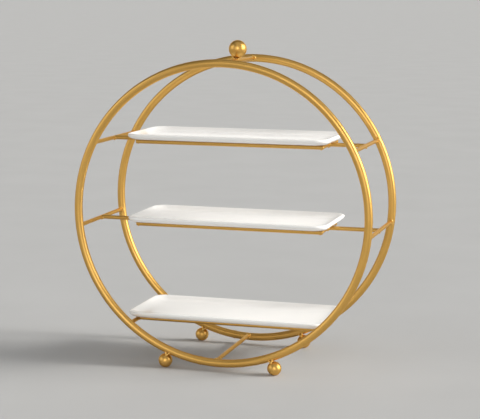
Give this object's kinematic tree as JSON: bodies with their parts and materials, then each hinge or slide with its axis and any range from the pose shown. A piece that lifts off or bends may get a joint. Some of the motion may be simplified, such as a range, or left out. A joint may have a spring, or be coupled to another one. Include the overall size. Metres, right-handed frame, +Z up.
{
  "type": "tiered cake stand",
  "caption": "Upright double-hoop stand of welded gold-painted tube and rod that carries lift-off rectangular porcelain plates one above another for serving cakes.",
  "frame": {"origin": "on the table, midway between the four foot balls", "axes": "+Z up, +Y to the back through both hoops, +X to the right"},
  "size_m": [0.3799, 0.1674, 0.4055],
  "materials": {
    "gold_paint": "satin gold paint on steel",
    "weld_paint": "satin gold paint over weld metal",
    "porcelain": "gloss white glaze"
  },
  "bodies": {
    "stand": {"front_ring": "gold_paint", "rear_ring": "gold_paint", "top_crossbar": "gold_paint", "bottom_crossbar": "gold_paint", "upper_left_crossbar": "gold_paint", "upper_right_crossbar": "gold_paint", "middle_left_crossbar": "gold_paint", "middle_right_crossbar": "gold_paint", "lower_left_crossbar": "gold_paint", "lower_right_crossbar": "gold_paint", "upper_front_rail": "gold_paint", "upper_rear_rail": "gold_paint", "middle_front_rail": "gold_paint", "middle_rear_rail": "gold_paint", "lower_front_rail": "gold_paint", "lower_rear_rail": "gold_paint", "upper_left_side_rail": "gold_paint", "upper_right_side_rail": "gold_paint", "middle_left_side_rail": "gold_paint", "middle_right_side_rail": "gold_paint", "upper_left_arm": "gold_paint", "upper_right_arm": "gold_paint", "middle_left_arm": "gold_paint", "middle_right_arm": "gold_paint", "finial_ball": "gold_paint", "front_left_foot": "gold_paint", "front_right_foot": "gold_paint", "rear_left_foot": "gold_paint", "rear_right_foot": "gold_paint", "crossbar_welds": "weld_paint", "arm_welds": "weld_paint", "tray_welds": "weld_paint", "foot_welds": "weld_paint", "finial_weld": "weld_paint", "ring_seam_welds": "gold_paint"},
    "upper_plate": {"upper_plate": "porcelain"},
    "middle_plate": {"middle_plate": "porcelain"},
    "lower_plate": {"lower_plate": "porcelain"}
  },
  "joints": [
    {"name": "upper_plate_lift_out", "type": "slide", "parent": "stand", "child": "upper_plate", "axis": [0, -0.9903, 0.1392], "range_m": [0, 0.17]},
    {"name": "middle_plate_lift_out", "type": "slide", "parent": "stand", "child": "middle_plate", "axis": [0, -0.9659, 0.2588], "range_m": [0, 0.17]},
    {"name": "lower_plate_lift_out", "type": "slide", "parent": "stand", "child": "lower_plate", "axis": [0, -0.8829, 0.4695], "range_m": [0, 0.17]}
  ]
}
